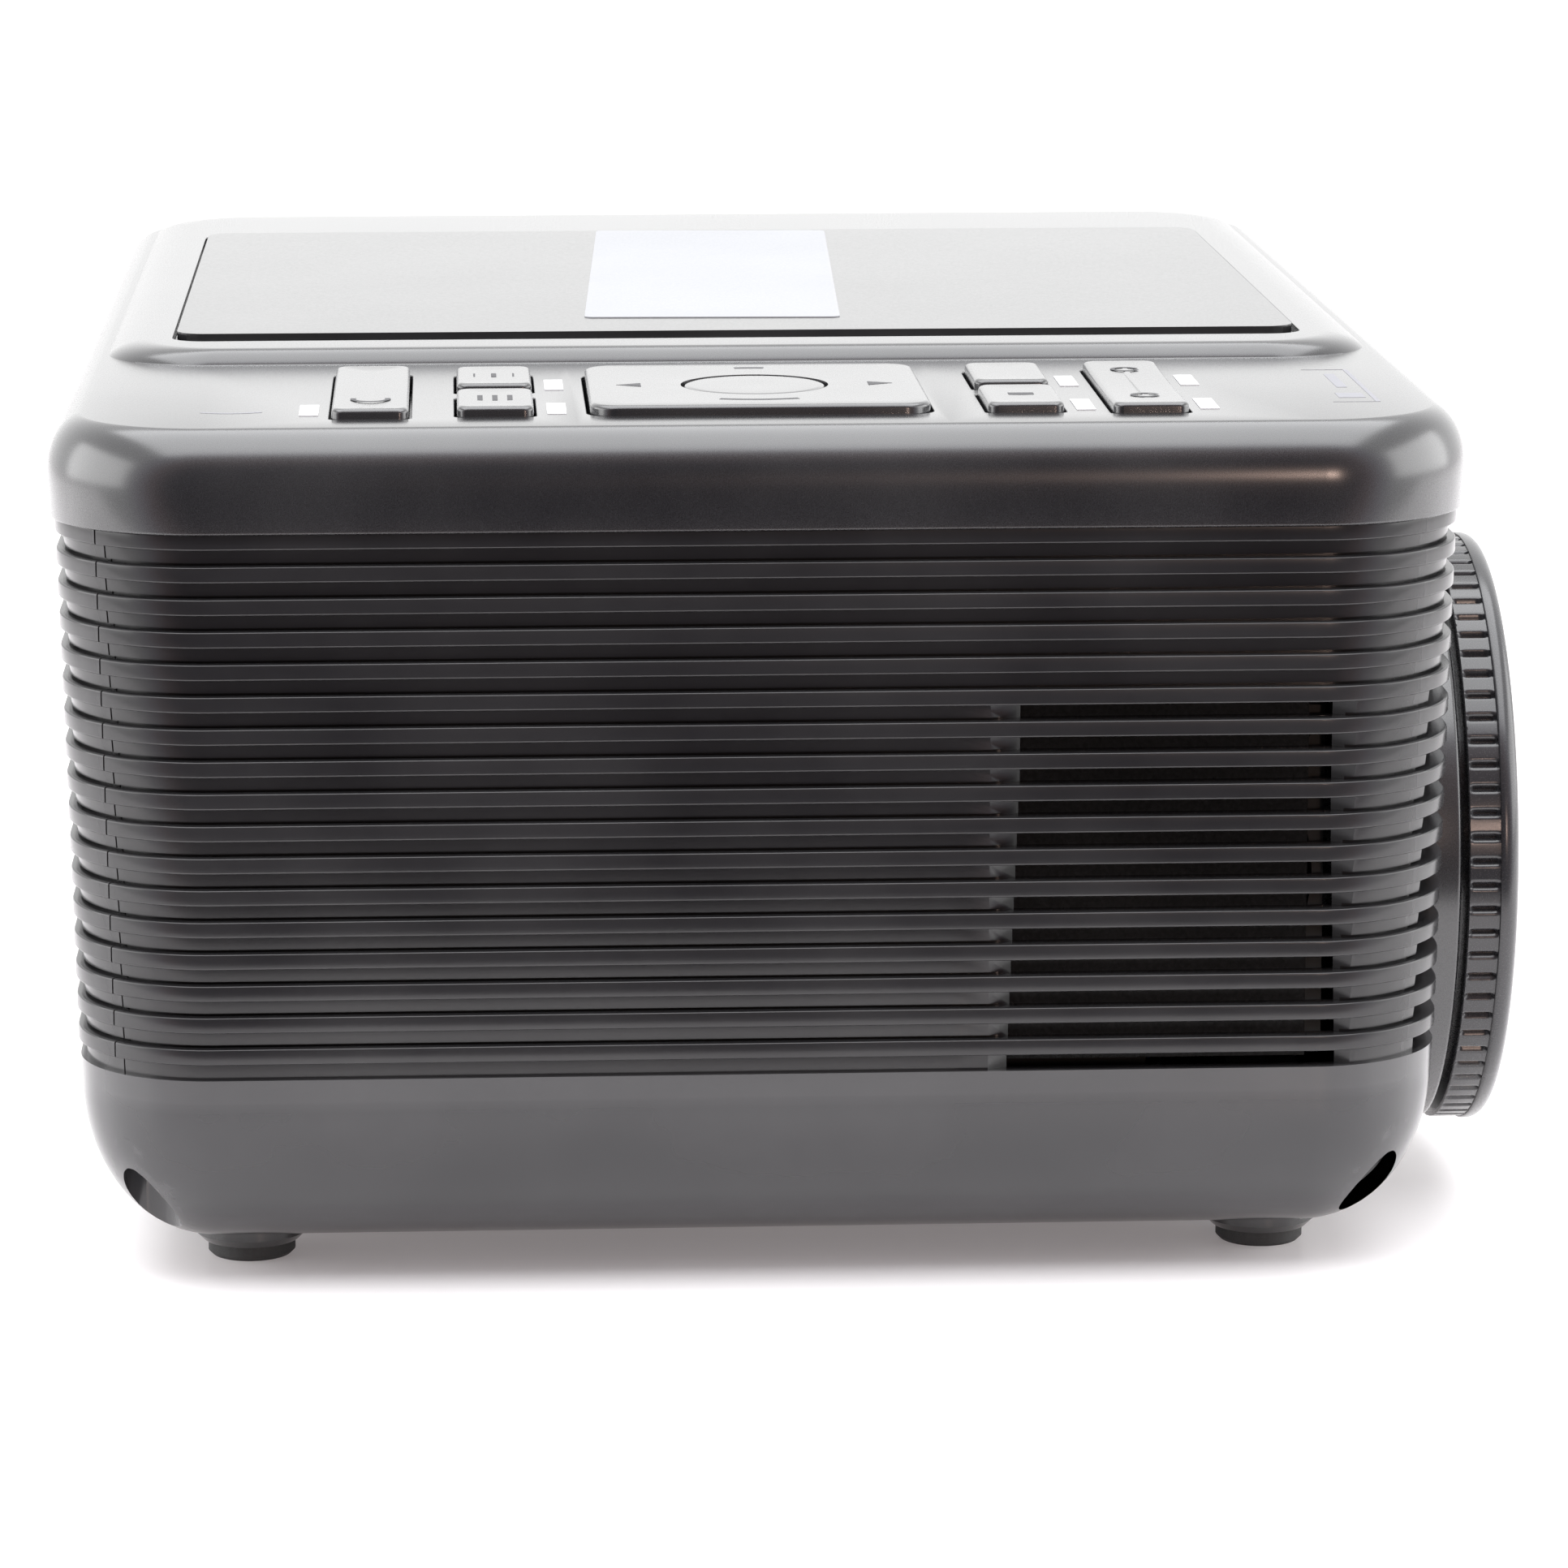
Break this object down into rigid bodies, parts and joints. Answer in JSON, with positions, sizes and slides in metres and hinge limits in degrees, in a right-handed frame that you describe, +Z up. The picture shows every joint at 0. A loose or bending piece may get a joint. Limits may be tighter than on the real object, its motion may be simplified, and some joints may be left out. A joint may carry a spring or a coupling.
{
  "type": "video projector",
  "caption": "Compact video projector with a louvred case, key strip and menu pad, turning focus ring with a sliding lens barrel, cooling fans and levelling feet.",
  "frame": {"origin": "centre of the bounding box base, on the table under the feet", "axes": "+X the way the lens looks, -Y the control side, +Z up"},
  "size_m": [0.221, 0.285, 0.1331],
  "materials": {
    "case_black": "satin moulded",
    "panel_black": "satin moulded",
    "gloss_black": "high gloss",
    "label_white": "printed film",
    "print_white": "printed ink",
    "screw_steel": "blackened",
    "ring_black": "satin gloss",
    "barrel_black": "matt",
    "lens_glass": "coated",
    "inner_plastic": "matt",
    "mirror": "polished",
    "lcd_dark": "gloss",
    "fresnel": "grooved",
    "led_ceramic": "matt",
    "heatsink_alu": "extruded",
    "filter_foam": "open foam",
    "circuit_board": "lacquered",
    "power_board": "lacquered",
    "socket_metal": "plated",
    "vga_blue": "moulded",
    "ir_red": "clear dark",
    "cone_paper": "pressed paper",
    "key_gloss": "semi gloss",
    "foot_plastic": "moulded",
    "foot_rubber": "matt"
  },
  "bodies": {
    "case": {"bottom_cover": "case_black", "top_cover": "case_black", "side_panel_right": "panel_black", "side_panel_left": "panel_black", "front_panel": "panel_black", "rear_panel": "panel_black", "top_plate": "gloss_black", "top_label": "label_white", "key_labels": "print_white", "case_screws": "screw_steel", "lens_collar": "case_black", "optical_housing": "inner_plastic", "optical_lid": "inner_plastic", "fold_mirror": "mirror", "lcd_panel": "lcd_dark", "fresnel_in": "fresnel", "fresnel_out": "fresnel", "condenser_lens": "lens_glass", "led_module": "led_ceramic", "led_heatsink": "heatsink_alu", "exhaust_fan_frame": "inner_plastic", "intake_fan_frame": "inner_plastic", "dust_filter": "filter_foam", "main_board": "circuit_board", "power_board": "power_board", "keypad_board": "circuit_board", "key_switches": "inner_plastic", "nav_posts": "inner_plastic", "hdmi_sockets": "socket_metal", "usb_sockets": "socket_metal", "vga_socket": "vga_blue", "audio_jacks": "inner_plastic", "power_inlet": "inner_plastic", "ir_window": "ir_red", "speaker_frame": "inner_plastic", "speaker_cone": "cone_paper"},
    "focus_ring": {"focus_ring": "ring_black"},
    "barrel": {"lens_barrel": "barrel_black", "front_lens": "lens_glass", "rear_lens": "lens_glass"},
    "exhaust_rotor": {"exhaust_fan_rotor": "inner_plastic"},
    "intake_rotor": {"intake_fan_rotor": "inner_plastic"},
    "nav_gimbal": {"nav_gimbal": "screw_steel"},
    "nav_pad": {"nav_pad": "key_gloss"},
    "ok_key": {"ok_key": "key_gloss"},
    "rocker_key": {"rocker_key": "key_gloss"},
    "power_key": {"power_key": "key_gloss"},
    "key_menu": {"key_menu": "key_gloss"},
    "key_source": {"key_source": "key_gloss"},
    "key_back": {"key_back": "key_gloss"},
    "key_mode": {"key_mode": "key_gloss"},
    "foot_pad_fr": {"foot_pad_fr": "foot_rubber"},
    "foot_screw_fr": {"foot_screw_fr": "foot_plastic"},
    "foot_pad_fl": {"foot_pad_fl": "foot_rubber"},
    "foot_screw_fl": {"foot_screw_fl": "foot_plastic"},
    "foot_pad_rr": {"foot_pad_rr": "foot_rubber"},
    "foot_screw_rr": {"foot_screw_rr": "foot_plastic"},
    "foot_pad_rl": {"foot_pad_rl": "foot_rubber"},
    "foot_screw_rl": {"foot_screw_rl": "foot_plastic"}
  },
  "joints": [
    {"name": "focus_turn", "type": "hinge", "parent": "case", "child": "focus_ring", "pos_m": [0.1045, -0.066, 0.055], "axis": [1, 0, 0], "range_deg": [-75.5, 50.5]},
    {"name": "barrel_slide", "type": "slide", "parent": "case", "child": "barrel", "axis": [1, 0, 0], "range_m": [-0.00314, 0.00209]},
    {"name": "power_key_press", "type": "slide", "parent": "case", "child": "power_key", "axis": [0, 0, -1], "range_m": [0, 0.0006], "stiffness_N_per_m": 600, "springref_m": -0.0005},
    {"name": "key_menu_press", "type": "slide", "parent": "case", "child": "key_menu", "axis": [0, 0, -1], "range_m": [0, 0.0006], "stiffness_N_per_m": 600, "springref_m": -0.0005},
    {"name": "key_source_press", "type": "slide", "parent": "case", "child": "key_source", "axis": [0, 0, -1], "range_m": [0, 0.0006], "stiffness_N_per_m": 600, "springref_m": -0.0005},
    {"name": "key_back_press", "type": "slide", "parent": "case", "child": "key_back", "axis": [0, 0, -1], "range_m": [0, 0.0006], "stiffness_N_per_m": 600, "springref_m": -0.0005},
    {"name": "key_mode_press", "type": "slide", "parent": "case", "child": "key_mode", "axis": [0, 0, -1], "range_m": [0, 0.0006], "stiffness_N_per_m": 600, "springref_m": -0.0005},
    {"name": "pad_tilt_side", "type": "hinge", "parent": "case", "child": "nav_gimbal", "pos_m": [-0.0055, -0.105, 0.1231], "axis": [0, 1, 0], "range_deg": [-1.5, 1.5], "stiffness_Nm_per_rad": 0.4},
    {"name": "pad_tilt_fore", "type": "hinge", "parent": "nav_gimbal", "child": "nav_pad", "pos_m": [-0.0055, -0.105, 0.1231], "axis": [1, 0, 0], "range_deg": [-1.5, 1.5], "stiffness_Nm_per_rad": 0.4},
    {"name": "ok_press", "type": "slide", "parent": "nav_pad", "child": "ok_key", "axis": [0, 0, -1], "range_m": [0, 0.0006], "stiffness_N_per_m": 600, "springref_m": -0.0005},
    {"name": "rocker_tilt", "type": "hinge", "parent": "case", "child": "rocker_key", "pos_m": [0.0517, -0.105, 0.1231], "axis": [1, 0, 0], "range_deg": [-1.5, 1.5], "stiffness_Nm_per_rad": 0.3},
    {"name": "exhaust_spin", "type": "hinge", "parent": "case", "child": "exhaust_rotor", "pos_m": [-0.0055, 0.126, 0.062], "axis": [0, 1, 0], "continuous": true},
    {"name": "intake_spin", "type": "hinge", "parent": "case", "child": "intake_rotor", "pos_m": [0.0525, -0.125, 0.062], "axis": [0, 1, 0], "continuous": true},
    {"name": "foot_lift_fr", "type": "slide", "parent": "case", "child": "foot_pad_fr", "axis": [0, 0, -1], "range_m": [0, 0.006]},
    {"name": "foot_turn_fr", "type": "hinge", "parent": "foot_pad_fr", "child": "foot_screw_fr", "pos_m": [0.0715, -0.11, 0.004], "axis": [0, 0, -1], "range_deg": [0, 1080.5]},
    {"name": "foot_lift_fl", "type": "slide", "parent": "case", "child": "foot_pad_fl", "axis": [0, 0, -1], "range_m": [0, 0.006]},
    {"name": "foot_turn_fl", "type": "hinge", "parent": "foot_pad_fl", "child": "foot_screw_fl", "pos_m": [0.0715, 0.11, 0.004], "axis": [0, 0, -1], "range_deg": [0, 1080.5]},
    {"name": "foot_lift_rr", "type": "slide", "parent": "case", "child": "foot_pad_rr", "axis": [0, 0, -1], "range_m": [0, 0.006]},
    {"name": "foot_turn_rr", "type": "hinge", "parent": "foot_pad_rr", "child": "foot_screw_rr", "pos_m": [-0.0825, -0.11, 0.004], "axis": [0, 0, -1], "range_deg": [0, 1080.5]},
    {"name": "foot_lift_rl", "type": "slide", "parent": "case", "child": "foot_pad_rl", "axis": [0, 0, -1], "range_m": [0, 0.006]},
    {"name": "foot_turn_rl", "type": "hinge", "parent": "foot_pad_rl", "child": "foot_screw_rl", "pos_m": [-0.0825, 0.11, 0.004], "axis": [0, 0, -1], "range_deg": [0, 1080.5]}
  ],
  "couplings": [
    {"joint": "focus_turn", "follows": "barrel_slide", "rad_per_m": 416.67},
    {"joint": "foot_turn_fr", "follows": "foot_lift_fr", "rad_per_m": 3141.6},
    {"joint": "foot_turn_fl", "follows": "foot_lift_fl", "rad_per_m": 3141.6},
    {"joint": "foot_turn_rr", "follows": "foot_lift_rr", "rad_per_m": 3141.6},
    {"joint": "foot_turn_rl", "follows": "foot_lift_rl", "rad_per_m": 3141.6}
  ]
}
